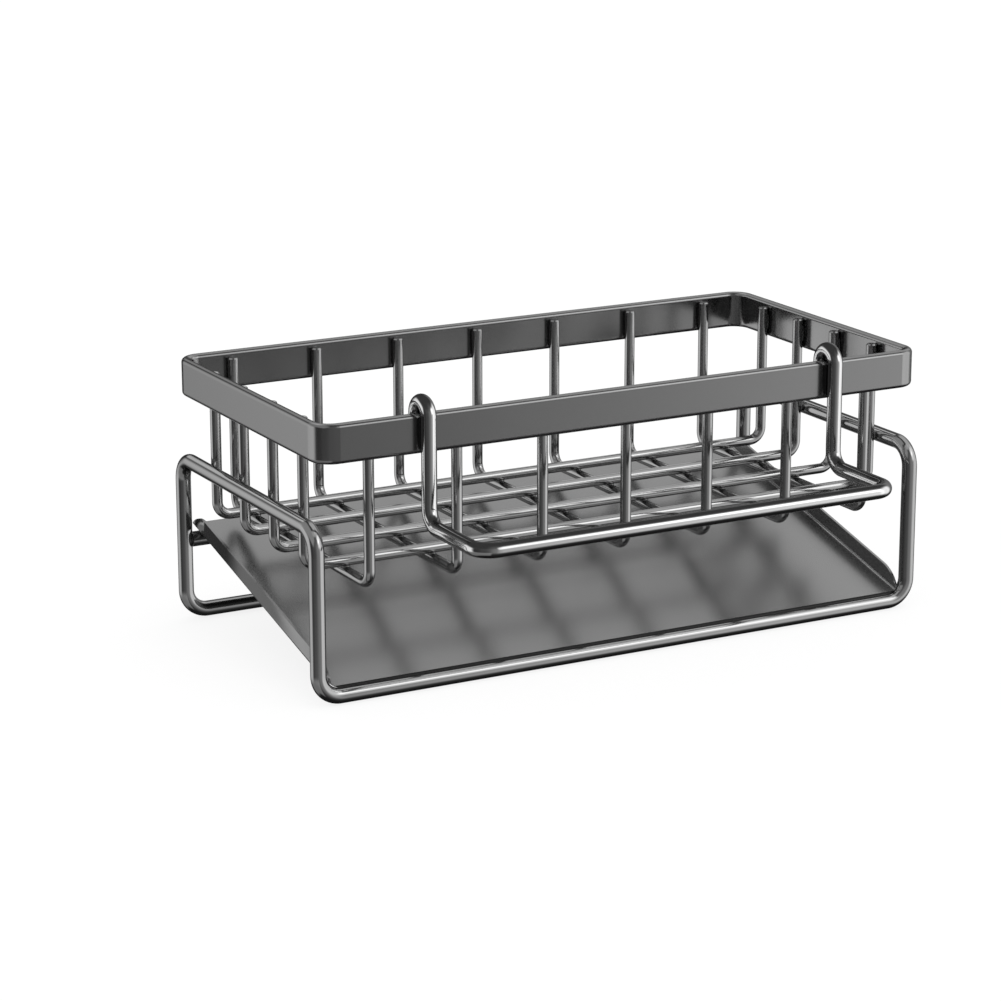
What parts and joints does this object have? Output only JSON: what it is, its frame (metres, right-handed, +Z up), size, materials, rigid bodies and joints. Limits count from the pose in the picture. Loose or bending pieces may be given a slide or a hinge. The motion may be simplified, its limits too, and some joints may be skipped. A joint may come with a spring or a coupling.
{
  "type": "sponge holder",
  "caption": "Open wire basket with a flat-bar rim in a bent wire stand, over a sloping drip tray that pulls out, with a lift-off towel bar on the front.",
  "frame": {"origin": "middle of the stand's footprint, on the counter", "axes": "+X along the holder's length, to the right seen from the front; +Y to the back, away from the towel bar; +Z up"},
  "size_m": [0.23, 0.1526, 0.0978],
  "materials": {
    "stand_wire": "glossy dark nickel plating on steel wire",
    "basket_wire": "glossy dark nickel plating on steel wire",
    "towel_wire": "glossy dark nickel plating on steel wire",
    "rim_bar": "satin dark nickel plating on flat steel bar",
    "tray_sheet": "satin dark nickel plating on steel sheet"
  },
  "bodies": {
    "rack": {"stand_frame": "stand_wire", "rear_cross_bar": "stand_wire", "rim_band": "rim_bar", "long_wire_1": "basket_wire", "long_wire_2": "basket_wire", "long_wire_3": "basket_wire", "long_wire_4": "basket_wire", "cross_wire_1": "basket_wire", "cross_wire_2": "basket_wire", "cross_wire_3": "basket_wire", "cross_wire_4": "basket_wire", "cross_wire_5": "basket_wire", "cross_wire_6": "basket_wire", "cross_wire_7": "basket_wire"},
    "towel_bar": {"towel_bar": "towel_wire"},
    "drip_tray": {"drip_tray": "tray_sheet"}
  },
  "joints": [
    {"name": "towel_bar_lift", "type": "slide", "parent": "rack", "child": "towel_bar", "axis": [0, 0, 1], "range_m": [0, 0.02]},
    {"name": "tray_pull", "type": "slide", "parent": "rack", "child": "drip_tray", "axis": [0, -1, 0], "range_m": [0, 0.11]}
  ]
}
